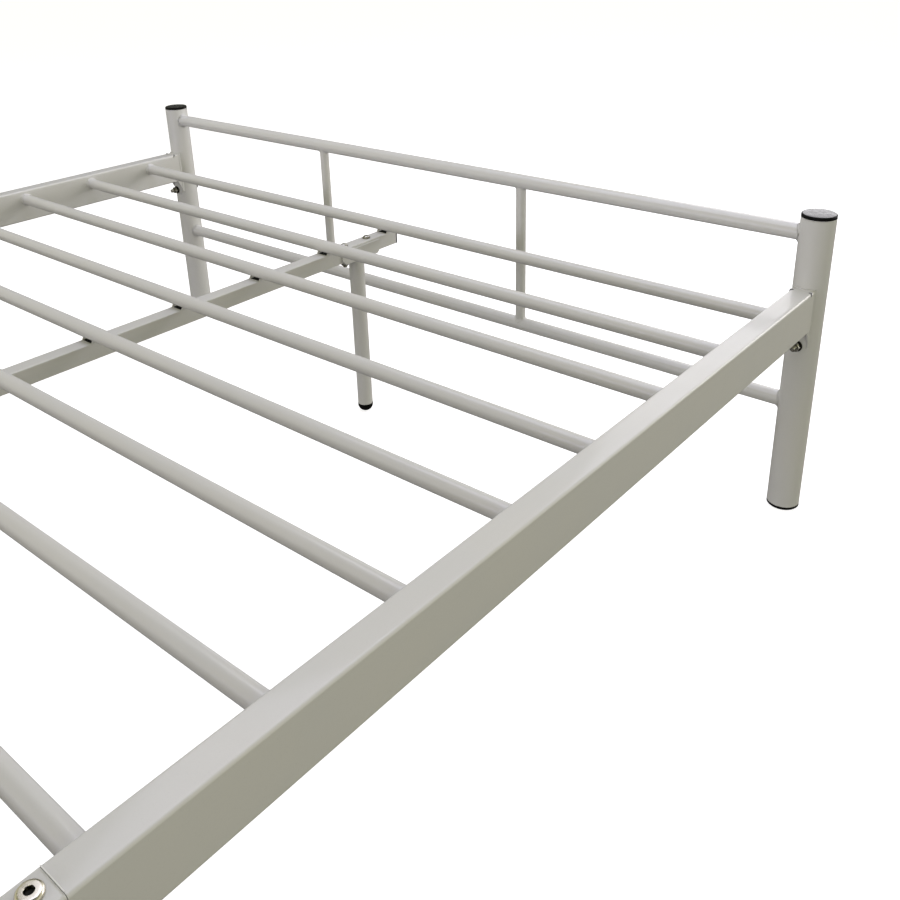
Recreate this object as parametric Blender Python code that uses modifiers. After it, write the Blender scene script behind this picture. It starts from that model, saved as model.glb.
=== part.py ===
"""Low tubular steel bed frame for a 120 x 190 cm mattress, in metres.

The origin is on the floor under the middle of the bed. +X runs across the bed, +Y from the foot end to the
head end, and +Z is up. Left and right are as seen by a person who stands at the foot end and faces the bed.
"""

import math

import bmesh
import bpy
from mathutils import Matrix, Vector

# Whole frame
POST_SPACING = 1.180  # between the centres of the two posts of one end
BED_LENGTH = 1.945  # between the post centres of the foot end and the head end
FRAME_HEIGHT = 0.3775
GAP = 0.0003  # between two pieces that touch
PAST = 0.01  # how far a cut runs on beyond the face that it opens

# Corner posts and their plastic caps
POST_RADIUS = 0.0192
POST_WALL = 0.0015
CAP_RIM = 0.0045
CAP_DOME = 0.0008
POST_FOOT = 0.004
CAP_EDGE = 0.0012
CAP_STEM = 0.014

# Rails and spindles of an end
TOP_RAIL_Z = 0.352
LOWER_RAIL_Z = 0.141
END_RAIL_RADIUS = 0.0095
END_RAIL_WALL = 0.0012
SPINDLE_RADIUS = 0.007
SPINDLE_WALL = 0.001
SPINDLE_SPACING = 0.388
SPINDLE_SHIFT = 0.0075  # the pair stands this far off the middle of its end

# Side rails
RAIL_WIDTH = 0.025
RAIL_HEIGHT = 0.050
RAIL_TOP = 0.2918
RAIL_WALL = 0.0015
RAIL_CORNER = 0.0025
RAIL_INSET = 0.0008  # the rail's centre line lies this far inside the posts' centres
RAIL_JOINT = 0.933  # from the foot posts' centres to the seam between the two sections
RAIL_START = 0.008  # the tube is coped round the post from here
RAIL_X = POST_SPACING / 2 - RAIL_INSET
RAIL_BOTTOM = RAIL_TOP - RAIL_HEIGHT

# Bracket on each end of a side rail
WEB_RADIUS = 0.0215
WEB_INNER = 0.0211
WEB_WIDTH = 0.026
WEB_TOP = 0.2933
WEB_LOW = 0.2215
TONGUE_RADIUS = 0.0118
TONGUE_RISE = 0.003  # the tongue is rounded about a point this far above the bolt
WING_REACH = 0.0250  # the wings meet the rail's underside this far from the post's centre
WING_TIP = 0.0150
WING_WALL = 0.0016
WING_FLUSH = 0.0001  # the wings lie this far in from the sides of the rail
SLOT_MIDDLE = 0.0255  # a slanting slot near the top of each side, this far from the post's centre
SLOT_WIDTH = 0.0012
SLOT_LENGTH = 0.009
SLOT_BELOW = 0.0008

# Sleeve and bolt of the side rail's joint
SLEEVE_LENGTH = 0.140
SLEEVE_WALL = 0.0015
PLUG_WELD_RADIUS = 0.005
JOINT_BOLT_OFFSET = 0.010
JOINT_BOLT_INSET = 0.0016  # from the rail's centre line towards the bed's middle
JOINT_HEAD_RADIUS = 0.0068
JOINT_HEAD_HEIGHT = 0.0024
JOINT_BOLT_LENGTH = 0.020

# Slats
SLAT_COUNT = 16
SLAT_FIRST = 0.080
SLAT_PITCH = 0.119
SLAT_Z = 0.277
SLAT_RADIUS = 0.0082
SLAT_WALL = 0.001

# Centre beam with its ears and end plugs
BEAM_SIZE = 0.020
BEAM_TOP = 0.2668
BEAM_WALL = 0.0015
BEAM_CORNER = 0.0015
BEAM_START = 0.0664  # from the foot posts' centres
PLUG_RIM = 0.002
PLUG_STEM = 0.012
EAR_WALL = 0.0015
EAR_HEIGHT = 0.005
EAR_BASE = 0.011
EAR_CROWN = 0.005

# Centre legs and their channel brackets
LEG_RADIUS = 0.011
LEG_WALL = 0.0012
LEG_OFFSET = 0.140  # from the posts' centres to an end leg
LEG_FOOT = 0.0125
LEG_FOOT_BAND = 0.002  # the foot's upright edge above its dome
LEG_FOOT_OVERLAP = 0.0003
LEG_FOOT_FLAT = 0.25  # the flat's share of the foot's radius
CHANNEL_WALL = 0.002
CHANNEL_LENGTH = 0.0756
CHANNEL_CHAMFER = 0.0063
CHANNEL_DROP = 0.003  # the channel's edges stay this far below the beam's top
LEG_BOLT_SPREAD = 0.045
STUD_HEIGHT = 0.012

# Fasteners
HOLE_PLAY = 0.0003
M8_RADIUS = 0.004
M6_RADIUS = 0.003
POST_BOLT_Z = 0.2235
POST_BOLT_TIP = 0.0345
POST_BOLT_CHAMFER = 0.0008
POST_BOLT_HEAD = 0.003
POST_BOLT_HEAD_RADIUS = 0.0065
POST_BOLT_HEAD_EDGE = 0.0012
POST_WASHER = 0.0012
POST_WASHER_RADIUS = 0.0068
POST_NUT = 0.0055
POST_NUT_RADIUS = 0.0060
LEG_WASHER = 0.001
LEG_WASHER_RADIUS = 0.0058
LEG_BOLT_HEAD = 0.003
LEG_BOLT_HEAD_RADIUS = 0.0047
LEG_NUT = 0.005
LEG_NUT_RADIUS = 0.0057
LEG_BOLT_END = 0.003  # the bolt's end below its nut
NUT_SINK = 0.0001  # a nut and its washer are one piece
HEX_SOCKET = 0.0029

# Facets around round pieces
POST_FACETS = 32
RAIL_FACETS = 20
SLAT_FACETS = 16
SMALL_FACETS = 12
BOLT_FACETS = 14

ALONG = {
    "x": Matrix.Rotation(math.radians(90), 4, "Y"),
    "y": Matrix.Rotation(math.radians(-90), 4, "X"),
    "z": Matrix.Identity(4),
}


def clear_scene():
    for item in list(bpy.data.objects):
        bpy.data.objects.remove(item, do_unlink=True)


def new_collection(name):
    made = bpy.data.collections.new(name)
    bpy.context.scene.collection.children.link(made)
    return made


def new_material(name, colour, roughness, metallic):
    made = bpy.data.materials.new(name)
    made.use_nodes = True
    shader = made.node_tree.nodes["Principled BSDF"]
    shader.inputs["Base Color"].default_value = (*colour, 1.0)
    shader.inputs["Roughness"].default_value = roughness
    shader.inputs["Metallic"].default_value = metallic
    return made


clear_scene()
PARTS = new_collection("metal_bed_frame")
CUTTERS = new_collection("cutters")
PAINT = new_material("paint", (0.66, 0.655, 0.625), 0.38, 0.0)
PLASTIC = new_material("black_plastic", (0.012, 0.012, 0.012), 0.35, 0.0)
ZINC = new_material("zinc", (0.62, 0.60, 0.55), 0.32, 1.0)


def add_part(part, name, material):
    """Names an object, gives it its material and files it with the bed's parts."""
    part.name = name
    part.data.materials.clear()
    part.data.materials.append(material)
    PARTS.objects.link(part)
    return part


def add_cutter(tool):
    """Files a helper shape, which is never a part of the bed."""
    tool.hide_render = True
    tool.display_type = "WIRE"
    CUTTERS.objects.link(tool)
    return tool


def object_of(mesh_data, name):
    mesh = bpy.data.meshes.new(name)
    mesh_data.to_mesh(mesh)
    mesh_data.free()
    return bpy.data.objects.new(name, mesh)


def box(low, high, round_axis=None, corner=0.0, segments=3):
    """A box from one corner to the other. Its edges along round_axis may be rounded."""
    low = Vector(low)
    high = Vector(high)
    cube = bmesh.new()
    bmesh.ops.create_cube(cube, size=1.0)
    bmesh.ops.scale(cube, vec=high - low, verts=cube.verts)
    bmesh.ops.translate(cube, vec=(low + high) / 2, verts=cube.verts)
    if round_axis is not None:
        long_edges = [
            edge
            for edge in cube.edges
            if abs((edge.verts[0].co - edge.verts[1].co).normalized()[round_axis]) > 0.99
        ]
        bmesh.ops.bevel(cube, geom=long_edges, offset=corner, segments=segments, profile=0.5, affect="EDGES")
    return object_of(cube, "box")


def cylinder(radius, centre, length, axis, facets):
    """A solid round bar whose middle is at centre."""
    bar = bmesh.new()
    place = Matrix.Translation(Vector(centre)) @ ALONG[axis]
    bmesh.ops.create_cone(
        bar, cap_ends=True, segments=facets, radius1=radius, radius2=radius, depth=length, matrix=place
    )
    made = object_of(bar, "cylinder")
    made.data.shade_smooth()
    made.data.set_sharp_from_angle(angle=math.radians(40))
    return made


def turned(profile, facets):
    """A profile of (radius, height) points, from the top down its outer side, turned about the Z axis."""
    line = bmesh.new()
    points = [line.verts.new((radius, 0.0, height)) for radius, height in profile]
    for first, second in zip(points, points[1:]):
        line.edges.new((first, second))
    if profile[0][0] > 0.0:
        line.edges.new((points[-1], points[0]))
    made = object_of(line, "turned")
    screw = made.modifiers.new("turn", "SCREW")
    screw.axis = "Z"
    screw.steps = facets
    screw.render_steps = facets
    screw.use_merge_vertices = True
    screw.merge_threshold = 0.00001
    screw.use_smooth_shade = True
    return made


def tube(radius, wall, low, high, facets):
    """A round tube along the Z axis, open at both ends."""
    inner = radius - wall
    return turned([(radius, high), (radius, low), (inner, low), (inner, high)], facets)


def plate(outline, thickness):
    """A flat plate with the given outline in the XY plane, its middle plane at Z = 0."""
    curve = bpy.data.curves.new("outline", "CURVE")
    curve.dimensions = "2D"
    curve.fill_mode = "BOTH"
    curve.extrude = thickness / 2
    spline = curve.splines.new("POLY")
    spline.points.add(len(outline) - 1)
    spline.use_cyclic_u = True
    for point, (x, y) in zip(spline.points, outline):
        point.co = (x, y, 0.0, 1.0)
    drawn = bpy.data.objects.new("outline", curve)
    bpy.context.scene.collection.objects.link(drawn)
    graph = bpy.context.evaluated_depsgraph_get()
    mesh = bpy.data.meshes.new_from_object(drawn.evaluated_get(graph))
    bpy.data.objects.remove(drawn)
    bpy.data.curves.remove(curve)
    joined = bmesh.new()
    joined.from_mesh(mesh)
    bpy.data.meshes.remove(mesh)
    bmesh.ops.remove_doubles(joined, verts=joined.verts, dist=0.00001)
    bmesh.ops.recalc_face_normals(joined, faces=joined.faces)
    return object_of(joined, "plate")


def side_plate(outline, thickness, x=0.0):
    """A plate whose outline lies in the YZ plane, at the given X."""
    made = plate(outline, thickness)
    turn = Matrix(((0, 0, 1, 0), (1, 0, 0, 0), (0, 1, 0, 0), (0, 0, 0, 1)))
    made.data.transform(Matrix.Translation((x, 0.0, 0.0)) @ turn)
    return made


def merged(pieces):
    """Several helper shapes that don't touch, as one object."""
    whole = bmesh.new()
    for piece in pieces:
        whole.from_mesh(piece.data)
        bpy.data.objects.remove(piece)
    return object_of(whole, "merged")


def combine(target, tool, operation):
    """Adds a Boolean of the target with a helper shape: UNION, DIFFERENCE or INTERSECT."""
    if tool.name not in CUTTERS.objects:
        add_cutter(tool)
    boolean = target.modifiers.new(operation.lower(), "BOOLEAN")
    boolean.operation = operation
    boolean.solver = "EXACT"
    boolean.object = tool


def cope(target, radius, centre, length, axis, facets=POST_FACETS):
    """Cuts away the room that a round neighbour takes, with a small gap to it."""
    combine(target, cylinder(radius + GAP, centre, length, axis, facets), "DIFFERENCE")


def end_y(end):
    """The Y of the post centres of an end."""
    return -BED_LENGTH / 2 if end == "foot" else BED_LENGTH / 2


def inward(end):
    """The direction along Y from an end to the middle of the bed."""
    return 1.0 if end == "foot" else -1.0


def side_x(side):
    return -1.0 if side == "left" else 1.0


def joint_bolt_x(rail_x):
    """The X of the joint's bolt on a rail whose centre line is at rail_x."""
    return rail_x - math.copysign(JOINT_BOLT_INSET, rail_x)


def slat_ys():
    return [end_y("foot") + SLAT_FIRST + number * SLAT_PITCH for number in range(SLAT_COUNT)]


def make_post(end, side):
    """A corner post with the bolt's hole through both of its walls."""
    low = POST_FOOT + GAP
    high = FRAME_HEIGHT - CAP_RIM - CAP_DOME - GAP
    post = tube(POST_RADIUS, POST_WALL, low, high, POST_FACETS)
    post.location = (side_x(side) * POST_SPACING / 2, end_y(end), 0.0)
    hole_centre = (post.location.x, post.location.y, POST_BOLT_Z)
    hole = cylinder(M6_RADIUS + HOLE_PLAY, hole_centre, 4 * POST_RADIUS, "y", SMALL_FACETS)
    combine(post, hole, "DIFFERENCE")
    add_part(post, f"{end}_post_{side}", PAINT)


def make_top_cap(end, side):
    """A thin round cap with a low dome and a stem that fills the mouth of the post."""
    stem = POST_RADIUS - POST_WALL - GAP
    top = FRAME_HEIGHT
    rim = top - CAP_DOME
    seat = rim - CAP_RIM
    profile = [
        (0.0, top),
        (0.6 * POST_RADIUS, top - 0.3 * CAP_DOME),
        (POST_RADIUS - CAP_EDGE, rim),
        (POST_RADIUS, rim - CAP_EDGE),
        (POST_RADIUS, seat),
        (stem, seat),
        (stem, seat - CAP_STEM),
        (0.0, seat - CAP_STEM),
    ]
    cap = turned(profile, POST_FACETS)
    cap.location = (side_x(side) * POST_SPACING / 2, end_y(end), 0.0)
    add_part(cap, f"{end}_cap_{side}", PLASTIC)


def make_post_foot(end, side):
    """The plug in the bottom of a post, with a flat face on the floor."""
    stem = POST_RADIUS - POST_WALL - GAP
    profile = [
        (0.0, POST_FOOT + CAP_STEM),
        (stem, POST_FOOT + CAP_STEM),
        (stem, POST_FOOT),
        (POST_RADIUS, POST_FOOT),
        (POST_RADIUS, CAP_EDGE),
        (POST_RADIUS - CAP_EDGE, 0.0),
        (0.0, 0.0),
    ]
    foot = turned(profile, POST_FACETS)
    foot.location = (side_x(side) * POST_SPACING / 2, end_y(end), 0.0)
    add_part(foot, f"{end}_post_foot_{side}", PLASTIC)


def make_end_rail(end, name, height):
    """A round rail between the two posts, its ends coped to them."""
    half = POST_SPACING / 2
    rail = tube(END_RAIL_RADIUS, END_RAIL_WALL, -half, half, RAIL_FACETS)
    rail.rotation_euler = (0.0, math.radians(90), 0.0)
    rail.location = (0.0, end_y(end), height)
    for side in ("left", "right"):
        post_centre = (side_x(side) * half, end_y(end), height)
        cope(rail, POST_RADIUS, post_centre, 8 * END_RAIL_RADIUS, "z")
    add_part(rail, f"{end}_{name}_rail", PAINT)


def make_spindle(end, side):
    """A thin upright between the lower and the top rail, coped to both."""
    x = side_x(side) * SPINDLE_SPACING / 2 + inward(end) * SPINDLE_SHIFT
    spindle = tube(SPINDLE_RADIUS, SPINDLE_WALL, LOWER_RAIL_Z, TOP_RAIL_Z, SMALL_FACETS)
    spindle.location = (x, end_y(end), 0.0)
    for height in (LOWER_RAIL_Z, TOP_RAIL_Z):
        cope(spindle, END_RAIL_RADIUS, (x, end_y(end), height), 8 * SPINDLE_RADIUS, "x", RAIL_FACETS)
    add_part(spindle, f"{end}_spindle_{side}", PAINT)


def rail_cavity(x, post_y, toward, joint_y):
    """The hollow of a side rail's tube and the space between the bracket's wings, short of its web."""
    inside = RAIL_WIDTH / 2 - RAIL_WALL
    between = RAIL_WIDTH / 2 - WING_WALL
    past_joint = joint_y + toward * PAST
    hollow = box(
        (x - inside, min(post_y, past_joint), RAIL_BOTTOM + RAIL_WALL),
        (x + inside, max(post_y, past_joint), RAIL_TOP - RAIL_WALL),
    )
    past_wings = post_y + toward * 2 * WING_REACH
    pocket = box(
        (x - between, min(post_y, past_wings), WEB_LOW - TONGUE_RADIUS),
        (x + between, max(post_y, past_wings), RAIL_BOTTOM),
    )
    cavity = merged([hollow, pocket])
    web = cylinder(WEB_INNER, (x, post_y, RAIL_TOP - RAIL_HEIGHT / 2), 3 * RAIL_HEIGHT, "z", POST_FACETS)
    combine(cavity, web, "DIFFERENCE")
    return cavity


def bracket_web(x, post_y, toward):
    """The curved sheet that hugs the post, with a rounded tongue round the bolt."""
    height = WEB_TOP - WEB_LOW + 4 * TONGUE_RADIUS
    web = cylinder(WEB_RADIUS, (x, post_y, WEB_TOP - height / 2), height, "z", POST_FACETS)
    near = post_y + toward * RAIL_START
    far = post_y + toward * 2 * WEB_RADIUS
    half = WEB_WIDTH / 2
    limit = box((x - half, min(near, far), WEB_LOW), (x + half, max(near, far), 2 * WEB_TOP))
    middle = (near + far) / 2
    low_point = (x, middle, POST_BOLT_Z + TONGUE_RISE)
    tongue = cylinder(TONGUE_RADIUS, low_point, abs(far - near), "y", RAIL_FACETS)
    combine(limit, tongue, "UNION")
    combine(web, limit, "INTERSECT")
    return web


def bracket_wings(x, post_y, toward):
    """The block below the rail that the pocket turns into two tapering wings."""
    outline = [
        (post_y + toward * RAIL_START, WEB_LOW),
        (post_y + toward * WING_TIP, WEB_LOW),
        (post_y + toward * WING_REACH, RAIL_BOTTOM),
        (post_y + toward * WING_REACH, RAIL_BOTTOM + RAIL_CORNER),
        (post_y + toward * RAIL_START, RAIL_BOTTOM + RAIL_CORNER),
    ]
    return side_plate(outline, RAIL_WIDTH - 2 * WING_FLUSH, x)


def corner_slots(x, post_y, toward):
    """The pair of slots that slant across the rail's top edges beside the post."""
    place = (x, post_y + toward * SLOT_MIDDLE, RAIL_TOP - SLOT_BELOW)
    depth = 2 * RAIL_CORNER
    half = Vector((depth, SLOT_LENGTH / 2, SLOT_WIDTH / 2))
    slant = Matrix.Rotation(-toward * math.radians(45), 4, "X")
    slots = []
    for out in (-1.0, 1.0):
        slot = box(-half, half)
        slot.data.transform(Matrix.Translation(Vector(place) + Vector((out * RAIL_WIDTH / 2, 0, 0))) @ slant)
        slots.append(slot)
    return merged(slots)


def rail_sleeve(x):
    """The short tube that carries the rail's joint, with the plug welds that hold it in the foot section."""
    y = end_y("foot") + RAIL_JOINT
    half = RAIL_WIDTH / 2 - RAIL_WALL - GAP
    bottom = RAIL_BOTTOM + RAIL_WALL + GAP
    top = RAIL_TOP - RAIL_WALL - GAP
    sleeve = box((x - half, y - SLEEVE_LENGTH / 2, bottom), (x + half, y + SLEEVE_LENGTH / 2, top))
    hollow = box(
        (x - half + SLEEVE_WALL, y - SLEEVE_LENGTH, bottom + SLEEVE_WALL),
        (x + half - SLEEVE_WALL, y + SLEEVE_LENGTH, top - SLEEVE_WALL),
    )
    combine(sleeve, hollow, "DIFFERENCE")
    hole_centre = (joint_bolt_x(x), y + JOINT_BOLT_OFFSET, top)
    hole = cylinder(M8_RADIUS + HOLE_PLAY, hole_centre, 4 * SLEEVE_WALL, "z", SMALL_FACETS)
    combine(sleeve, hole, "DIFFERENCE")
    weld_x = half + GAP / 2
    weld_y = y - SLEEVE_LENGTH / 4
    weld_z = RAIL_TOP - RAIL_HEIGHT / 2
    welds = [
        cylinder(PLUG_WELD_RADIUS, (x + out * weld_x, weld_y, weld_z), SLEEVE_WALL, "x", SMALL_FACETS)
        for out in (-1.0, 1.0)
    ]
    combine(sleeve, merged(welds), "UNION")
    return sleeve


def make_side_rail(side, end):
    """One section of a side rail: a rectangular tube from the bracket at the post to the joint."""
    x = side_x(side) * RAIL_X
    post_y = end_y(end)
    toward = inward(end)
    joint_y = end_y("foot") + RAIL_JOINT - toward * GAP / 2
    start = post_y + toward * RAIL_START
    low = (x - RAIL_WIDTH / 2, min(start, joint_y), RAIL_BOTTOM)
    high = (x + RAIL_WIDTH / 2, max(start, joint_y), RAIL_TOP)
    rail = box(low, high, round_axis=1, corner=RAIL_CORNER)
    combine(rail, bracket_web(x, post_y, toward), "UNION")
    combine(rail, bracket_wings(x, post_y, toward), "UNION")
    combine(rail, rail_cavity(x, post_y, toward, joint_y), "DIFFERENCE")
    post_x = side_x(side) * POST_SPACING / 2
    cope(rail, POST_RADIUS, (post_x, post_y, RAIL_BOTTOM), 4 * RAIL_HEIGHT, "z")
    bolt_centre = (post_x, post_y, POST_BOLT_Z)
    bolt_hole = cylinder(M6_RADIUS + HOLE_PLAY, bolt_centre, 4 * POST_RADIUS, "y", SMALL_FACETS)
    combine(rail, bolt_hole, "DIFFERENCE")
    combine(rail, corner_slots(x, post_y, toward), "DIFFERENCE")
    if end == "foot":
        combine(rail, rail_sleeve(x), "UNION")
    else:
        bolt_y = end_y("foot") + RAIL_JOINT + JOINT_BOLT_OFFSET
        hole_centre = (joint_bolt_x(x), bolt_y, RAIL_TOP)
        hole = cylinder(M8_RADIUS + HOLE_PLAY, hole_centre, 4 * RAIL_WALL, "z", SMALL_FACETS)
        combine(rail, hole, "DIFFERENCE")
    add_part(rail, f"side_rail_{side}_{end}", PAINT)


def make_joint_bolt(side):
    """The flat-headed bolt on a side rail's top, with a hexagon socket."""
    head_top = RAIL_TOP + GAP + JOINT_HEAD_HEIGHT
    tip = head_top - JOINT_BOLT_LENGTH
    edge = JOINT_HEAD_HEIGHT / 3
    profile = [
        (0.0, head_top),
        (JOINT_HEAD_RADIUS - edge, head_top),
        (JOINT_HEAD_RADIUS, head_top - edge),
        (JOINT_HEAD_RADIUS, RAIL_TOP + GAP),
        (M8_RADIUS, RAIL_TOP + GAP),
        (M8_RADIUS, tip),
        (0.0, tip),
    ]
    bolt = turned(profile, BOLT_FACETS)
    y = end_y("foot") + RAIL_JOINT + JOINT_BOLT_OFFSET
    bolt.location = (joint_bolt_x(side_x(side) * RAIL_X), y, 0.0)
    socket_centre = (bolt.location.x, y, head_top)
    combine(bolt, cylinder(HEX_SOCKET, socket_centre, 2 * JOINT_HEAD_HEIGHT, "z", 6), "DIFFERENCE")
    add_part(bolt, f"rail_joint_bolt_{side}", ZINC)


def make_slat(number, y):
    """A round slat between the inner faces of the side rails."""
    half = RAIL_X - RAIL_WIDTH / 2 - GAP
    slat = tube(SLAT_RADIUS, SLAT_WALL, -half, half, SLAT_FACETS)
    slat.rotation_euler = (0.0, math.radians(90), 0.0)
    slat.location = (0.0, y, SLAT_Z)
    add_part(slat, f"slat_{number:02d}", PAINT)


def ear_plates(y):
    """The pair of upright ears on the beam under one slat, flush with its sides."""
    base = BEAM_TOP - BEAM_WALL / 2
    crown = BEAM_TOP + EAR_HEIGHT
    outline = [
        (y - EAR_BASE / 2, base),
        (y + EAR_BASE / 2, base),
        (y + EAR_CROWN / 2, crown),
        (y - EAR_CROWN / 2, crown),
    ]
    x = (BEAM_SIZE - EAR_WALL) / 2
    return [side_plate(outline, EAR_WALL, -x), side_plate(outline, EAR_WALL, x)]


def bolt_ys(leg_y):
    return [leg_y - LEG_BOLT_SPREAD / 2, leg_y + LEG_BOLT_SPREAD / 2]


def make_beam(end):
    """Half of the centre beam: a square tube with two ears under each slat and holes for the leg bolts."""
    toward = inward(end)
    start = end_y(end) + toward * BEAM_START
    middle = -toward * GAP / 2
    low_y, high_y = sorted((start, middle))
    half = BEAM_SIZE / 2
    bottom = BEAM_TOP - BEAM_SIZE
    beam = box((-half, low_y, bottom), (half, high_y, BEAM_TOP), round_axis=1, corner=BEAM_CORNER, segments=2)
    under = [y for y in slat_ys() if low_y < y < high_y]
    combine(beam, merged([ear for y in under for ear in ear_plates(y)]), "UNION")
    room = [cylinder(SLAT_RADIUS + GAP, (0.0, y, SLAT_Z), 2 * BEAM_SIZE, "x", SLAT_FACETS) for y in under]
    combine(beam, merged(room), "DIFFERENCE")
    inside = half - BEAM_WALL
    hollow = box(
        (-inside, low_y - BEAM_SIZE, bottom + BEAM_WALL),
        (inside, high_y + BEAM_SIZE, BEAM_TOP - BEAM_WALL),
    )
    combine(beam, hollow, "DIFFERENCE")
    leg_y = end_y(end) + toward * LEG_OFFSET
    through = [
        cylinder(M6_RADIUS + HOLE_PLAY, (0.0, y, BEAM_TOP - half), 2 * BEAM_SIZE, "z", SMALL_FACETS)
        for y in bolt_ys(leg_y)
    ]
    stud_y = -toward * LEG_BOLT_SPREAD / 2
    through.append(cylinder(M6_RADIUS + HOLE_PLAY, (0.0, stud_y, bottom), half, "z", SMALL_FACETS))
    combine(beam, merged(through), "DIFFERENCE")
    add_part(beam, f"centre_beam_{end}", PAINT)


def make_beam_plug(end):
    """The plug in the outer end of the beam: a thin rim and a stem."""
    toward = inward(end)
    face = end_y(end) + toward * (BEAM_START - GAP)
    outer = face - toward * PLUG_RIM
    inner = face + toward * PLUG_STEM
    half = BEAM_SIZE / 2
    bottom = BEAM_TOP - BEAM_SIZE
    low, high = (-half, min(face, outer), bottom), (half, max(face, outer), BEAM_TOP)
    plug = box(low, high, round_axis=1, corner=BEAM_CORNER)
    inset = BEAM_WALL + GAP
    joined = face - toward * PLUG_RIM / 2
    low = (-half + inset, min(joined, inner), bottom + inset)
    high = (half - inset, max(joined, inner), BEAM_TOP - inset)
    stem = box(low, high)
    combine(plug, stem, "UNION")
    add_part(plug, f"beam_plug_{end}", PLASTIC)


def channel_shape(leg_y):
    """The bracket that wraps the beam's underside, with its lower corners cut off."""
    base = BEAM_TOP - BEAM_SIZE - GAP - CHANNEL_WALL
    top = BEAM_TOP - CHANNEL_DROP
    half = CHANNEL_LENGTH / 2
    outline = [
        (leg_y - half, top),
        (leg_y - half, base + CHANNEL_CHAMFER),
        (leg_y - half + CHANNEL_CHAMFER, base),
        (leg_y + half - CHANNEL_CHAMFER, base),
        (leg_y + half, base + CHANNEL_CHAMFER),
        (leg_y + half, top),
    ]
    return side_plate(outline, BEAM_SIZE + 2 * (GAP + CHANNEL_WALL))


def make_leg(name, leg_y):
    """A centre leg: a round tube welded to its channel bracket, drilled for bolts or carrying studs."""
    base = BEAM_TOP - BEAM_SIZE - GAP - CHANNEL_WALL
    leg = channel_shape(leg_y)
    room_x = BEAM_SIZE / 2 + GAP
    room = box(
        (-room_x, leg_y - CHANNEL_LENGTH, base + CHANNEL_WALL),
        (room_x, leg_y + CHANNEL_LENGTH, BEAM_TOP + PAST),
    )
    combine(leg, room, "DIFFERENCE")
    low = LEG_FOOT + GAP
    high = base + CHANNEL_WALL / 2
    post = cylinder(LEG_RADIUS, (0.0, leg_y, (low + high) / 2), high - low, "z", RAIL_FACETS)
    combine(leg, post, "UNION")
    bore_high = base - CHANNEL_WALL
    bore = cylinder(LEG_RADIUS - LEG_WALL, (0.0, leg_y, bore_high / 2), bore_high, "z", RAIL_FACETS)
    combine(leg, bore, "DIFFERENCE")
    if name == "middle":
        stud_z = base + CHANNEL_WALL / 2 + STUD_HEIGHT / 2
        studs = [
            cylinder(M6_RADIUS, (0.0, y, stud_z), STUD_HEIGHT, "z", SMALL_FACETS) for y in bolt_ys(leg_y)
        ]
        combine(leg, merged(studs), "UNION")
    else:
        holes = [
            cylinder(M6_RADIUS + HOLE_PLAY, (0.0, y, base), 4 * CHANNEL_WALL, "z", SMALL_FACETS)
            for y in bolt_ys(leg_y)
        ]
        combine(leg, merged(holes), "DIFFERENCE")
    add_part(leg, f"centre_leg_{name}", PAINT)


def make_leg_foot(name, leg_y):
    """The domed plug in the bottom of a centre leg."""
    stem = LEG_RADIUS - LEG_WALL - GAP
    rim = LEG_RADIUS + LEG_FOOT_OVERLAP
    dome_height = LEG_FOOT - LEG_FOOT_BAND
    dome_steps = 5
    last_angle = math.acos(LEG_FOOT_FLAT)
    dome = []
    for step in range(dome_steps + 1):
        angle = last_angle * step / dome_steps
        fall = math.sin(angle) / math.sin(last_angle)
        dome.append((rim * math.cos(angle), dome_height * (1 - fall)))
    profile = [(0.0, LEG_FOOT + CAP_STEM), (stem, LEG_FOOT + CAP_STEM), (stem, LEG_FOOT), (rim, LEG_FOOT)]
    foot = turned(profile + dome + [(0.0, 0.0)], RAIL_FACETS)
    foot.location = (0.0, leg_y, 0.0)
    add_part(foot, f"leg_foot_{name}", PLASTIC)


def make_post_bolt(end, side):
    """The bolt through a post and its bracket, with its washer and hex nut."""
    head_seat = -POST_RADIUS - GAP
    head_top = head_seat - POST_BOLT_HEAD
    washer_seat = WEB_INNER + GAP
    nut_seat = washer_seat + POST_WASHER
    profile = [
        (0.0, POST_BOLT_TIP),
        (M6_RADIUS - POST_BOLT_CHAMFER, POST_BOLT_TIP),
        (M6_RADIUS, POST_BOLT_TIP - POST_BOLT_CHAMFER),
        (M6_RADIUS, nut_seat),
        (POST_WASHER_RADIUS, nut_seat),
        (POST_WASHER_RADIUS, washer_seat),
        (M6_RADIUS, washer_seat),
        (M6_RADIUS, head_seat),
        (POST_BOLT_HEAD_RADIUS, head_seat),
        (POST_BOLT_HEAD_RADIUS, head_seat - 0.6 * POST_BOLT_HEAD),
        (POST_BOLT_HEAD_RADIUS - POST_BOLT_HEAD_EDGE, head_top),
        (0.0, head_top),
    ]
    bolt = turned(profile, BOLT_FACETS)
    toward = inward(end)
    x = side_x(side) * POST_SPACING / 2
    y = end_y(end)
    bolt.rotation_euler = (toward * math.radians(-90), 0.0, 0.0)
    bolt.location = (x, y, POST_BOLT_Z)
    nut_middle = nut_seat + POST_NUT / 2 - NUT_SINK
    nut = cylinder(POST_NUT_RADIUS, (x, y + toward * nut_middle, POST_BOLT_Z), POST_NUT, "y", 6)
    combine(bolt, nut, "UNION")
    socket = cylinder(HEX_SOCKET, (x, y + toward * head_top, POST_BOLT_Z), POST_BOLT_HEAD, "y", 6)
    combine(bolt, socket, "DIFFERENCE")
    add_part(bolt, f"post_bolt_{end}_{side}", ZINC)


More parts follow.
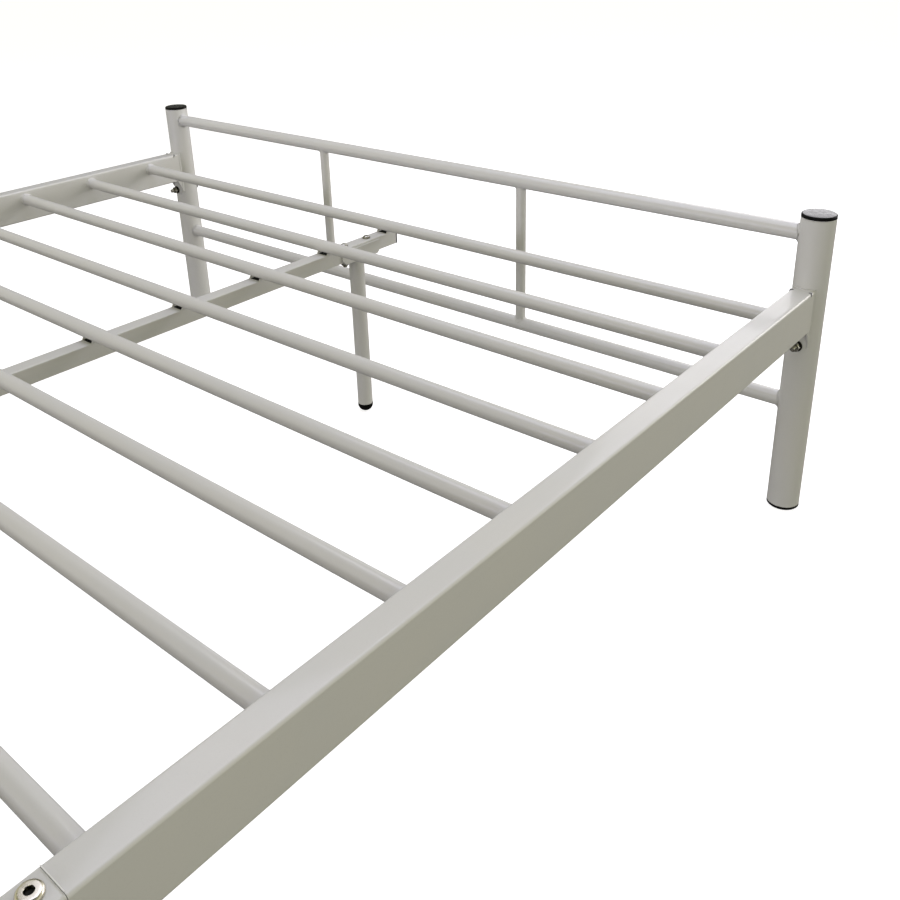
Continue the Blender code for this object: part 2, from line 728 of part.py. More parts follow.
def make_leg_bolt(end, place, y):
    """A bolt from the beam's top through the beam and the leg's bracket, with its washer and nut."""
    washer_seat = BEAM_TOP + GAP
    head_seat = washer_seat + LEG_WASHER
    nut_seat = BEAM_TOP - BEAM_SIZE - 2 * GAP - CHANNEL_WALL
    tip = nut_seat - LEG_NUT - LEG_BOLT_END
    profile = [
        (0.0, head_seat + LEG_BOLT_HEAD),
        (0.55 * LEG_BOLT_HEAD_RADIUS, head_seat + 0.8 * LEG_BOLT_HEAD),
        (LEG_BOLT_HEAD_RADIUS, head_seat + 0.2 * LEG_BOLT_HEAD),
        (LEG_BOLT_HEAD_RADIUS, head_seat),
        (LEG_WASHER_RADIUS, head_seat),
        (LEG_WASHER_RADIUS, washer_seat),
        (M6_RADIUS, washer_seat),
        (M6_RADIUS, tip),
        (0.0, tip),
    ]
    bolt = turned(profile, BOLT_FACETS)
    bolt.location = (0.0, y, 0.0)
    combine(bolt, cylinder(LEG_NUT_RADIUS, (0.0, y, nut_seat - LEG_NUT / 2), LEG_NUT, "z", 6), "UNION")
    add_part(bolt, f"leg_bolt_{end}_{place}", ZINC)


def build():
    for end in ("foot", "head"):
        make_end_rail(end, "top", TOP_RAIL_Z)
        make_end_rail(end, "lower", LOWER_RAIL_Z)
        for side in ("left", "right"):
            make_post(end, side)
            make_top_cap(end, side)
            make_post_foot(end, side)
            make_spindle(end, side)
            make_side_rail(side, end)
            make_post_bolt(end, side)
        make_beam(end)
        make_beam_plug(end)
        leg_y = end_y(end) + inward(end) * LEG_OFFSET
        make_leg(end, leg_y)
        make_leg_foot(end, leg_y)
        for place, y in zip(("a", "b"), bolt_ys(leg_y)):
            make_leg_bolt(end, place, y)
    make_leg("middle", 0.0)
    make_leg_foot("middle", 0.0)
    for side in ("left", "right"):
        make_joint_bolt(side)
    for number, y in enumerate(slat_ys(), start=1):
        make_slat(number, y)


build()
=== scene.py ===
"""Looks for the metal bed frame: powder coat, weld beads, rubber liners, black plugs and plated bolts."""

import math

import bmesh
import bpy
import numpy as np
from mathutils import Matrix, Vector


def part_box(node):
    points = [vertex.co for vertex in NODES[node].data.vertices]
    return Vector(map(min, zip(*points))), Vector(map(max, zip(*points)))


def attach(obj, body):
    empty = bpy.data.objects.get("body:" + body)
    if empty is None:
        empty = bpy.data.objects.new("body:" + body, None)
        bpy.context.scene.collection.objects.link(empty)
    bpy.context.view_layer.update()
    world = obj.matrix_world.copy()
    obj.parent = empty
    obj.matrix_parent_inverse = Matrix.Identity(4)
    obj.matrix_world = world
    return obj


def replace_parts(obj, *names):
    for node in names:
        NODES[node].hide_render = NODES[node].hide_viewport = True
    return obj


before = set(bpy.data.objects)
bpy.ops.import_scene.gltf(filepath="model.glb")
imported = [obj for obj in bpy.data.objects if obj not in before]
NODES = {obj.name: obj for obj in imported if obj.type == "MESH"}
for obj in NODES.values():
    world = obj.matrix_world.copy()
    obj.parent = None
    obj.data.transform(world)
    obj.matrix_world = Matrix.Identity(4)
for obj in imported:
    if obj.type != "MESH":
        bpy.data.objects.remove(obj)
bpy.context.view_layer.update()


# ---------------------------------------------------------------- the frame's own measures, in metres
def middle(node):
    """The middle of a node's box."""
    low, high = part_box(node)
    return (low + high) / 2


def half_size(node):
    """Half the size of a node's box."""
    low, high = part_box(node)
    return (high - low) / 2


ENDS = ("foot", "head")
SIDES = ("left", "right")
SLATS = sorted(name for name in NODES if name.startswith("slat_"))
LEGS = ("foot", "middle", "head")
POST_RADIUS = half_size("foot_post_left").x
RAIL_RADIUS = half_size("foot_top_rail").y
SPINDLE_RADIUS = half_size("foot_spindle_left").x
SLAT_RADIUS = half_size(SLATS[0]).y
BEAM_HALF = half_size("centre_beam_foot").x
POST_BOLT_Z = middle("post_bolt_foot_left").z

# The CAD's measures that its boxes don't show
GAP = 0.0003  # between two pieces that touch
EAR_WALL = 0.0015
EAR_HEIGHT = 0.005  # above the beam's top face
EAR_GAP = 2 * (BEAM_HALF - EAR_WALL)
LEG_RADIUS = 0.011
LEG_PLATE = 0.0023  # from the beam's underside to the underside of a leg's bracket
RAIL_CORNER = 0.0025
SLOT_MIDDLE = 0.0255  # from a post's centre to a slot's middle
SLOT_BELOW = 0.0008  # from the rail's top to a slot's middle

# How finely the pieces are made, and the angles in degrees above which their edges are sharp
SEGMENTS = 64
WELD_ARC = 5
SHARP_ANGLE = 38.0
WELD_SHARP_ANGLE = 80
PLAIN_SHARP_ANGLE = 30
STRIP_SHARP_ANGLE = 60

# The kind of a loft's ring: round, or with this many flat sides
ROUND = 0
HEXAGON = 6

# Weld beads: how far each reaches along its bar, how deep it is sunk, and the waves that make it uneven
RAIL_BEAD = 0.0030
SPINDLE_BEAD = 0.0018
SLAT_BEAD = 0.0020
LEG_BEAD = 0.0024
WELD_SINK = 0.0004
WAVES = ((0.10, 3, 1.0), (0.06, 7, 2.3), (0.05, 19, 1.0))  # depth, count round the bar, share of the seed

# Rubber liners
LINER_SIDE_GAP = 0.0010
LINER_HALF = 0.0053
LINER_RISE = 0.0025
LINER_GAP = 0.0002
LINER_COLUMNS = 14

# Post caps, and a painted highlight: a ring of lighter paint on the tube's end below each
CAP_STEM = 0.0172
CAP_CROWN = 0.0170
CAP_EDGE = 0.0016
CAP_EDGE_DROP = 0.0007
CAP_DOME = 0.0006
CAP_LEVEL = 0.97  # faces that look up less than this are matt
LIP = 0.0006

# The ridge of lighter paint at a rail's joint, a painted highlight along the seam
SEAM_HALF = 0.00032
SEAM_RISE = 0.00017
SEAM_SINK = 0.00005
SEAM_STEPS = 8

# Painted shade inside a slot: a strip of darkened paint where the slot's shade falls
SLOT_HALF = 0.00026
SLOT_REACH = 0.0042  # from the rail's top to the slot's low end
SLOT_DEPTH = 0.0042  # from the rail's side inwards
SLOT_SINK = 0.00012
SLOT_SLOPE = 0.0003  # its inner edge lies this much lower
SLOT_TURN = 8  # degrees from one step to the next round the rail's corner

# Bolts. Heights on a post bolt run from the post's centre towards the bed's middle.
HEAD_RADIUS = 0.0065
WASHER_RADIUS = 0.0068
WASHER_SEAT = 0.0214
NUT_SEAT = 0.0226
NUT_END = 0.0281
NUT_FLAT = 0.0051
NUT_CORNER = 0.0007
LEG_WASHER_RADIUS = 0.0058
LEG_WASHER = 0.0010
LEG_DOME_RADIUS = 0.0047
LEG_DOME_BAND = 0.0008
LEG_DOME = 0.0021
LEG_NUT_FLAT = 0.0049
JOINT_HEAD_RADIUS = 0.0068
JOINT_HEAD_HEIGHT = 0.0024
JOINT_HEAD_EDGE = 0.0020
JOINT_SOCKET_RADIUS = 0.00255


# ---------------------------------------------------------------- materials
def new_material(name):
    """A material with an empty Principled shader. Returns it with its tree and shader."""
    made = bpy.data.materials.new(name)
    made.use_nodes = True
    tree = made.node_tree
    return made, tree, tree.nodes["Principled BSDF"]


def add(tree, kind, **values):
    """Adds a node and sets its properties, or its inputs where a name is an input's."""
    node = tree.nodes.new(kind)
    for key, value in values.items():
        label = key.replace("_", " ")
        if label in node.inputs:
            node.inputs[label].default_value = value
        else:
            setattr(node, key, value)
    return node


def noise(tree, scale, detail=3.0, roughness=0.55):
    """Noise in the object's own metres. Returns its value."""
    place = add(tree, "ShaderNodeTexCoord")
    made = add(tree, "ShaderNodeTexNoise", Scale=scale, Detail=detail, Roughness=roughness)
    tree.links.new(place.outputs["Object"], made.inputs["Vector"])
    return made.outputs["Fac"]


def spread(tree, value, low, high, out_low=0.0, out_high=1.0):
    """Maps a value from one range to another."""
    made = add(tree, "ShaderNodeMapRange")
    made.inputs["From Min"].default_value = low
    made.inputs["From Max"].default_value = high
    made.inputs["To Min"].default_value = out_low
    made.inputs["To Max"].default_value = out_high
    tree.links.new(value, made.inputs["Value"])
    return made.outputs["Result"]


def blend_colour(tree, fac, first, second):
    """Mixes two colours, or a socket and a colour, by a value."""
    made = add(tree, "ShaderNodeMix", data_type="RGBA")
    tree.links.new(fac, made.inputs[0])
    for socket, colour in ((made.inputs[6], first), (made.inputs[7], second)):
        if isinstance(colour, tuple):
            socket.default_value = (*colour, 1.0)
        else:
            tree.links.new(colour, socket)
    return made.outputs[2]


def bump(tree, height, distance, strength=1.0, normal=None):
    """Bumps from a height value, on top of another normal where one is given."""
    made = add(tree, "ShaderNodeBump", Strength=strength, Distance=distance)
    tree.links.new(height, made.inputs["Height"])
    if normal is not None:
        tree.links.new(normal, made.inputs["Normal"])
    return made.outputs["Normal"]


def lifted(colour, factor):
    """A colour made lighter or darker by a factor."""
    return tuple(min(channel * factor, 0.95) for channel in colour)


def powder_coat(name, rounding=0.0006, lift=1.0, lumps=0.0):
    """Off-white powder coat with a fine orange peel, faint mottling and specks, and rounded edges. A lift
    below 1 darkens it for painted shade, above 1 lightens it for painted highlight.
    """
    made, tree, shader = new_material(name)
    cloud = spread(tree, noise(tree, 9.0), 0.35, 0.65)
    mottled = blend_colour(tree, cloud, lifted(PAINT_WARM, lift), lifted(PAINT_COOL, lift))
    grain = spread(tree, noise(tree, 850.0, 2.0), 0.30, 0.42)
    coloured = blend_colour(tree, grain, lifted(PAINT_SPECK, lift), mottled)
    tree.links.new(coloured, shader.inputs["Base Color"])
    sheen = spread(tree, noise(tree, 60.0), 0.3, 0.7, PAINT_ROUGH - 0.04, PAINT_ROUGH + 0.05)
    tree.links.new(sheen, shader.inputs["Roughness"])
    shader.inputs["Coat Weight"].default_value = COAT_WEIGHT
    shader.inputs["Coat Roughness"].default_value = COAT_ROUGH
    edge = add(tree, "ShaderNodeBevel", samples=4, Radius=rounding)
    peel = bump(tree, noise(tree, 420.0, 2.0), 0.00006, 0.45, edge.outputs["Normal"])
    runs = bump(tree, noise(tree, 34.0, 1.0), 0.0006, 0.25, peel)
    if lumps:
        runs = bump(tree, noise(tree, 330.0, 3.0), lumps, 1.0, runs)
    tree.links.new(runs, shader.inputs["Normal"])
    return made


def moulded_plastic(name, roughness, colour, fleck, grain=1600.0, shine=0.5, sink=0.0):
    """Dark plastic or rubber with a fine grain and a little dust, and a wavy face where sink is set."""
    made, tree, shader = new_material(name)
    dust = spread(tree, noise(tree, 55.0, 4.0), 0.45, 0.75)
    tree.links.new(blend_colour(tree, dust, colour, fleck), shader.inputs["Base Color"])
    rough = spread(tree, noise(tree, 140.0), 0.3, 0.7, roughness - 0.06, roughness + 0.08)
    tree.links.new(rough, shader.inputs["Roughness"])
    shader.inputs["Specular IOR Level"].default_value = shine
    normal = bump(tree, noise(tree, grain, 2.0), 0.00004, 0.5)
    if sink:
        normal = bump(tree, noise(tree, 130.0, 3.0), sink, 1.0, normal)
    tree.links.new(normal, shader.inputs["Normal"])
    return made


def plated_metal(name, colour, stain, roughness):
    """Plated or oxidised metal with faint stains and fine scratches."""
    made, tree, shader = new_material(name)
    cloud = spread(tree, noise(tree, 160.0, 3.0), 0.35, 0.7)
    tree.links.new(blend_colour(tree, cloud, colour, stain), shader.inputs["Base Color"])
    rough = spread(tree, noise(tree, 500.0), 0.3, 0.7, roughness - 0.07, roughness + 0.1)
    tree.links.new(rough, shader.inputs["Roughness"])
    shader.inputs["Metallic"].default_value = 1.0
    place = add(tree, "ShaderNodeTexCoord")
    stretch = add(tree, "ShaderNodeMapping")
    stretch.inputs["Scale"].default_value = SCRATCH_SCALE
    scratch = add(tree, "ShaderNodeTexNoise", Scale=1.0, Detail=2.0)
    tree.links.new(place.outputs["Object"], stretch.inputs["Vector"])
    tree.links.new(stretch.outputs["Vector"], scratch.inputs["Vector"])
    normal = bump(tree, scratch.outputs["Fac"], 0.00001, 0.20)
    tree.links.new(normal, shader.inputs["Normal"])
    return made


PAINT_WARM = (0.665, 0.655, 0.628)
PAINT_COOL = (0.650, 0.645, 0.630)
PAINT_SPECK = (0.640, 0.632, 0.610)
PAINT_ROUGH = 0.40
COAT_WEIGHT = 0.38
COAT_ROUGH = 0.09
SCRATCH_SCALE = (300.0, 5200.0, 300.0)  # long along X and Z, fine along Y

PAINT = powder_coat("powder_coat")
WELD_PAINT = powder_coat("powder_coat_on_welds", 0.0003, lumps=0.0016)
# Paint darkened to a fifth of its colour: painted shade inside the slots
SLOT_SHADE_PAINT = powder_coat("painted_shade_in_slots", 0.0001, 0.20)
# Lightened paint: a painted highlight on the rail seams and on the tubes' ends under the caps
HIGHLIGHT_PAINT = powder_coat("powder_coat_painted_highlight", 0.0001, 1.18)

BLACK = (0.010, 0.010, 0.010)
BLACK_DUST = (0.020, 0.019, 0.018)
SIDE_BLACK = (0.002, 0.002, 0.002)
SIDE_DUST = (0.005, 0.005, 0.005)
RUBBER_BLACK = (0.003, 0.003, 0.003)
RUBBER_DUST = (0.008, 0.008, 0.007)
PLASTIC = moulded_plastic("black_plastic", 0.22, BLACK, BLACK_DUST, sink=0.0007)
PLASTIC_SIDE = moulded_plastic("black_plastic_sides", 0.55, SIDE_BLACK, SIDE_DUST, 900.0, 0.10)
RUBBER = moulded_plastic("black_rubber", 0.62, RUBBER_BLACK, RUBBER_DUST, 900.0, 0.15)

ZINC = plated_metal("zinc_plating", (0.46, 0.45, 0.40), (0.16, 0.15, 0.12), 0.20)
# Near-black metal: a painted shadow on the post bolts' washers, and the dark of the joint bolts' sockets
OXIDE_AND_SHADE = plated_metal("dark_oxide_and_painted_shade", (0.030, 0.028, 0.024), (0.012, 0.011, 0.009), 0.45)
NICKEL = plated_metal("nickel_plating", (0.66, 0.62, 0.53), (0.60, 0.56, 0.48), 0.28)


# ---------------------------------------------------------------- shading of the CAD nodes
def soften(mesh, limit=SHARP_ANGLE):
    """Smooth shading across the CAD mesh's shallow edges. Only shading normals are set: no vertex moves."""
    count = len(mesh.polygons)
    face_normal = np.empty(count * 3)
    mesh.polygons.foreach_get("normal", face_normal)
    face_normal = face_normal.reshape(-1, 3)
    area = np.empty(count)
    mesh.polygons.foreach_get("area", area)
    at = np.empty(len(mesh.vertices) * 3)
    mesh.vertices.foreach_get("co", at)
    spots = np.round(at.reshape(-1, 3) * 1e6).astype(np.int64)
    spot_of = np.unique(spots, axis=0, return_inverse=True)[1].reshape(-1)
    around = {}
    for face in mesh.polygons:
        for vertex in face.vertices:
            around.setdefault(int(spot_of[vertex]), []).append(face.index)
    least = math.cos(math.radians(limit))
    shading = np.zeros((len(mesh.loops), 3))
    for face in mesh.polygons:
        own = face_normal[face.index]
        for loop in face.loop_indices:
            near = around[int(spot_of[mesh.loops[loop].vertex_index])]
            alike = [other for other in near if face_normal[other] @ own > least]
            total = (face_normal[alike] * area[alike, None]).sum(axis=0)
            shading[loop] = total / max(np.linalg.norm(total), 1e-12)
    for face in mesh.polygons:
        face.use_smooth = True
    mesh.normals_split_custom_set([tuple(n) for n in shading])


def node_material(node):
    """The material of a CAD node, by its name."""
    if node.startswith(("leg_foot_", "beam_plug_")) or "_cap_" in node or "_post_foot_" in node:
        return PLASTIC_SIDE
    if "joint_bolt" in node:
        return NICKEL
    if "bolt" in node:
        return ZINC
    return PAINT


def dress(node):
    """Gives a CAD node its material and its shading."""
    mesh = NODES[node].data
    mesh.materials.clear()
    mesh.materials.append(node_material(node))
    soften(mesh)


# ---------------------------------------------------------------- making new pieces
def finish_piece(name, bm, material, smooth_angle=SHARP_ANGLE):
    """Turns mesh data into a named piece that rides with the bed."""
    bmesh.ops.recalc_face_normals(bm, faces=bm.faces)
    mesh = bpy.data.meshes.new(name)
    bm.to_mesh(mesh)
    bm.free()
    mesh.materials.append(material)
    mesh.shade_smooth()
    mesh.set_sharp_from_angle(angle=math.radians(smooth_angle))
    piece = bpy.data.objects.new(name, mesh)
    bpy.context.scene.collection.objects.link(piece)
    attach(piece, "root")
    return piece


def second_material(piece, material, wanted):
    """Gives another material to the faces of a piece that the test picks."""
    mesh = piece.data
    mesh.materials.append(material)
    for face in mesh.polygons:
        if wanted(face):
            face.material_index = len(mesh.materials) - 1


def bridge(bm, first, second):
    """Faces between two closed loops with as many vertices each."""
    for step in range(len(first)):
        following = (step + 1) % len(first)
        bm.faces.new((first[step], first[following], second[following], second[step]))


def ring_points(radius, height, corners, place, segments):
    """A ring about the local Z axis, round or with flat sides. With flat sides, radius is to a flat."""
    points = []
    for step in range(segments):
        angle = math.tau * step / segments
        reach = radius
        if corners:
            wedge = math.tau / corners
            reach = radius / math.cos((angle % wedge) - wedge / 2)
        points.append(place @ Vector((reach * math.cos(angle), reach * math.sin(angle), height)))
    return points


def loft(bm, rings, place, segments=SEGMENTS):
    """Joins rings of (radius, height, corners) from one end to the other and closes both ends."""
    loops = [
        [bm.verts.new(p) for p in ring_points(radius, height, corners, place, segments)]
        for radius, height, corners in rings
    ]
    for first, second in zip(loops, loops[1:]):
        bridge(bm, first, second)
    bm.faces.new(loops[0])
    bm.faces.new(loops[-1])


def loft_tube(bm, place, outer, inner, low, high):
    """A short ring of square section."""
    loops = [
        [bm.verts.new(p) for p in ring_points(radius, height, ROUND, place, SEGMENTS)]
        for radius, height in ((outer, low), (outer, high), (inner, high), (inner, low))
    ]
    for first, second in zip(loops, loops[1:] + loops[:1]):
        bridge(bm, first, second)


def rounded_edge(radius, height, fillet, steps):
    """Rings of a rounded upper edge, from the side to the top."""
    rings = []
    for step in range(steps + 1):
        angle = math.pi / 2 * step / steps
        around = radius - fillet + fillet * math.cos(angle)
        rings.append((around, height - fillet * (1 - math.sin(angle)), ROUND))
    return rings


def turned_in(side):
    """The turn about Z that points local +X from one side of the bed to its middle."""
    return 0.0 if side == "left" else math.pi


# ---------------------------------------------------------------- weld beads
# Local +X leaves the rail towards the spindle, and local Z lies along the rail.
SPINDLE_TURN = {
    "top": Matrix(((0, 0, 1, 0), (0, 1, 0, 0), (-1, 0, 0, 0), (0, 0, 0, 1))),
    "lower": Matrix(((0, 0, -1, 0), (0, 1, 0, 0), (1, 0, 0, 0), (0, 0, 0, 1))),
}
DOWNWARD = SPINDLE_TURN["top"]


def weld_profile(radius, reach, bulge):
    """Points of (out from the wall, radius) across a weld bead, from the wall to the bar."""
    points = [(-WELD_SINK, radius + reach)]
    for step in range(WELD_ARC + 1):
        along = step / WELD_ARC
        swell = bulge * math.sin(math.pi * along)
        points.append((reach * (along + swell), radius + reach * (1 - along + swell)))
    points.append((reach, radius - WELD_SINK))
    return points


def weld_ring(bm, place, radius, reach, wall_radius=None, seed=0.0, segments=SEGMENTS, bulge=-0.10):
    """A weld bead round a bar that leaves a wall along local +X. A round wall has its axis on local Z."""
    loops = []
    for step in range(segments):
        angle = math.tau * step / segments
        uneven = sum(depth * math.sin(count * angle + share * seed) for depth, count, share in WAVES)
        loop = []
        for out, around in weld_profile(radius, reach * (1 + uneven), bulge):
            y = around * math.cos(angle)
            z = around * math.sin(angle)
            wall = 0.0
            if wall_radius is not None:
                wall = math.sqrt(max(wall_radius**2 - y**2, 0.0))
            loop.append(bm.verts.new(place @ Vector((wall + out, y, z))))
        loops.append(loop)
    for first, second in zip(loops, loops[1:] + loops[:1]):
        bridge(bm, first, second)


def make_end_welds():
    """Beads where the rails of an end meet its posts, and where the spindles meet the rails."""
    for end in ENDS:
        for number, level in enumerate(("top", "lower")):
            height = middle(f"{end}_{level}_rail").z
            for side in SIDES:
                post = middle(f"{end}_post_{side}")
                turn = turned_in(side)
                place = Matrix.Translation((post.x, post.y, height)) @ Matrix.Rotation(turn, 4, "Z")
                bm = bmesh.new()
                weld_ring(bm, place, RAIL_RADIUS, RAIL_BEAD, POST_RADIUS, seed=number + turn)
                finish_piece(f"weld_{end}_{level}_rail_{side}", bm, WELD_PAINT, WELD_SHARP_ANGLE)
        for side in SIDES:
            spindle = middle(f"{end}_spindle_{side}")
            for level in ("top", "lower"):
                rail = middle(f"{end}_{level}_rail")
                place = Matrix.Translation((spindle.x, rail.y, rail.z)) @ SPINDLE_TURN[level]
                bm = bmesh.new()
                weld_ring(bm, place, SPINDLE_RADIUS, SPINDLE_BEAD, RAIL_RADIUS, seed=spindle.x)
                name = f"weld_{end}_spindle_{side}_{level}"
                finish_piece(name, bm, WELD_PAINT, WELD_SHARP_ANGLE)


def make_slat_welds():
    """A short bead round each slat's end on the inner face of the side rail."""
    for side in SIDES:
        outward = -1.0 if side == "left" else 1.0
        turn = turned_in(side)
        for number, slat in enumerate(SLATS):
            centre = middle(slat)
            tip = half_size(slat).x + GAP
            place = Matrix.Translation((outward * tip, centre.y, centre.z)) @ Matrix.Rotation(turn, 4, "Z")
            bm = bmesh.new()
            seed = 1.7 * number + turn
            weld_ring(bm, place, SLAT_RADIUS, SLAT_BEAD, seed=seed, segments=40, bulge=0.05)
            finish_piece(f"weld_{slat}_{side}", bm, WELD_PAINT, WELD_SHARP_ANGLE)


def make_leg_welds():
    """The bead between a centre leg and its bracket."""
    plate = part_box("centre_beam_foot")[0].z - LEG_PLATE
    for leg in LEGS:
        centre = middle(f"leg_foot_{leg}")
        place = Matrix.Translation((centre.x, centre.y, plate)) @ DOWNWARD
        bm = bmesh.new()
        weld_ring(bm, place, LEG_RADIUS, LEG_BEAD, seed=centre.y)
        finish_piece(f"weld_centre_leg_{leg}", bm, WELD_PAINT, WELD_SHARP_ANGLE)


# ---------------------------------------------------------------- rubber liners
def make_liners():
    """A black rubber pad between the beam's two ears under each slat, hollowed to the slat."""
    beam_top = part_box("centre_beam_foot")[1].z - EAR_HEIGHT
    half_x = EAR_GAP / 2 - LINER_SIDE_GAP
    for slat in SLATS:
        centre = middle(slat)
        outline = [(centre.y - LINER_HALF, beam_top + LINER_GAP)]
        for step in range(LINER_COLUMNS + 1):
            y = -LINER_HALF + 2 * LINER_HALF * step / LINER_COLUMNS
            under = centre.z - math.sqrt(max((SLAT_RADIUS + LINER_GAP) ** 2 - y * y, 0.0))
            outline.append((centre.y + y, min(under, beam_top + LINER_RISE)))
        outline.append((centre.y + LINER_HALF, beam_top + LINER_GAP))
        bm = bmesh.new()
        left = [bm.verts.new((-half_x, y, z)) for y, z in outline]
        right = [bm.verts.new((half_x, y, z)) for y, z in outline]
        bm.faces.new(left)
        bm.faces.new(right)
        bridge(bm, left, right)
        name = slat.replace("slat", "liner")
        piece = finish_piece(name, bm, RUBBER, PLAIN_SHARP_ANGLE)
        edges = piece.modifiers.new("rounded", "BEVEL")
        edges.width = 0.0002
        edges.segments = 2


# ---------------------------------------------------------------- caps
def make_post_caps():
    """The low-domed cap of each post with its matt sides, and a painted highlight: a ring of lighter paint on
    the tube's end below it.
    """
    for end in ENDS:
        for side in SIDES:
            cap = f"{end}_cap_{side}"
            low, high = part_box(cap)
            centre = (low + high) / 2
            place = Matrix.Translation((centre.x, centre.y, 0.0))
            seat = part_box(f"{end}_post_{side}")[1].z + GAP
            rings = [(CAP_STEM, low.z, ROUND), (CAP_STEM, seat + LIP, ROUND)]
            rings.append((POST_RADIUS, seat + LIP, ROUND))
            rings += rounded_edge(POST_RADIUS, high.z - CAP_EDGE_DROP, CAP_EDGE, steps=6)
            for share in (1.0, 0.8, 0.6, 0.4, 0.2, 0.02):
                rings.append((CAP_CROWN * share, high.z - CAP_DOME * share**2, ROUND))
            bm = bmesh.new()
            loft(bm, rings, place)
            piece = finish_piece(f"glossy_{cap}", bm, PLASTIC)
            second_material(piece, PLASTIC_SIDE, lambda face: abs(face.normal.z) < CAP_LEVEL)
            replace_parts(piece, cap)
            bm = bmesh.new()
            # The lip ring in lighter paint is a painted highlight on the tube's top edge
            loft_tube(bm, place, POST_RADIUS, CAP_STEM + 0.0001, seat, seat + LIP - 0.00005)
            finish_piece(f"lip_{end}_post_{side}", bm, HIGHLIGHT_PAINT, PLAIN_SHARP_ANGLE)


# ---------------------------------------------------------------- seams and slots, with a painted highlight on each seam and painted shade in each slot
def make_rail_seams():
    """The fine ridge of paint that bridges the joint on the top of each side rail, in lighter paint as a
    painted highlight.
    """
    for side in SIDES:
        low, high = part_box(f"side_rail_{side}_foot")
        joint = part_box(f"side_rail_{side}_head")[0].y - GAP / 2
        centre = (low.x + high.x) / 2
        reach = (high.x - low.x) / 2 - RAIL_CORNER
        bm = bmesh.new()
        loops = []
        for x in (centre - reach, centre + reach):
            loop = []
            for step in range(SEAM_STEPS + 1):
                angle = math.pi * step / SEAM_STEPS
                up = high.z - SEAM_SINK + SEAM_RISE * math.sin(angle)
                loop.append(bm.verts.new((x, joint + SEAM_HALF * math.cos(angle), up)))
            loops.append(loop)
        first, second = loops
        bridge(bm, first, second)
        bm.faces.new(first)
        bm.faces.new(second)
        # The ridge's lighter paint is a painted highlight
        finish_piece(f"seam_{side}_rail", bm, HIGHLIGHT_PAINT, STRIP_SHARP_ANGLE)


def slot_outline(half, top):
    """Points of (out from the rail's middle, height) up a rail's side and round its top corner."""
    points = []
    for step in range(3):
        points.append((half - SLOT_SINK, top - SLOT_REACH + (SLOT_REACH - RAIL_CORNER) * step / 2))
    for step in range(1, 7):
        angle = math.radians(SLOT_TURN * step)
        out = half - RAIL_CORNER * (1 - math.cos(angle)) - SLOT_SINK
        points.append((out, top - RAIL_CORNER * (1 - math.sin(angle))))
    return points


def make_slot_shade():
    """Painted shade: strips of darkened paint inside the slots that slant across each side rail's top edges
    beside the posts.
    """
    for end in ENDS:
        toward = 1.0 if end == "foot" else -1.0
        across = Vector((0.0, toward * SLOT_HALF, SLOT_HALF))
        for side in SIDES:
            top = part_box(f"side_rail_{side}_{end}")[1].z
            post = middle(f"{end}_post_{side}")
            x = middle(f"side_rail_{side}_head").x
            half = half_size(f"side_rail_{side}_head").x
            for number, outward in enumerate((-1.0, 1.0)):
                bm = bmesh.new()
                loops = []
                for out, z in slot_outline(half, top):
                    y = post.y + toward * (SLOT_MIDDLE + top - SLOT_BELOW - z)
                    outer = Vector((x + outward * out, y, z))
                    inner = Vector((x + outward * (half - SLOT_DEPTH), y, z - SLOT_SLOPE))
                    corners = (outer - across, outer + across, inner + across, inner - across)
                    loops.append([bm.verts.new(corner) for corner in corners])
                for first, second in zip(loops, loops[1:]):
                    bridge(bm, first, second)
                bm.faces.new(loops[0])
                bm.faces.new(loops[-1])
                name = f"slot_inside_{end}_{side}_{number}"
                # Each strip is painted shade: darkened paint where the slot's shade falls
                finish_piece(name, bm, SLOT_SHADE_PAINT, STRIP_SHARP_ANGLE)


# ---------------------------------------------------------------- bolts
def screw_rings(start, stop, radius, pitch, depth):
    """Rings of a thread from one height to the other."""
    rings = []
    turns = max(int(abs(stop - start) / pitch), 1)
    step = (stop - start) / turns
    for turn in range(turns):
        base = start + turn * step
        rings.append((radius - depth, base, ROUND))
        rings.append((radius, base + 0.4 * step, ROUND))
        rings.append((radius, base + 0.6 * step, ROUND))
    rings.append((radius - depth, stop, ROUND))
    return rings


def nut_rings(start, stop, flat):
    """A hexagon nut with turned corners, between two heights. Its flats lie this far from its axis."""
    return [
        (flat * 0.97, start, ROUND),
        (flat, start + NUT_CORNER, HEXAGON),
        (flat, stop - NUT_CORNER, HEXAGON),
        (flat * 0.97, stop, ROUND),
    ]


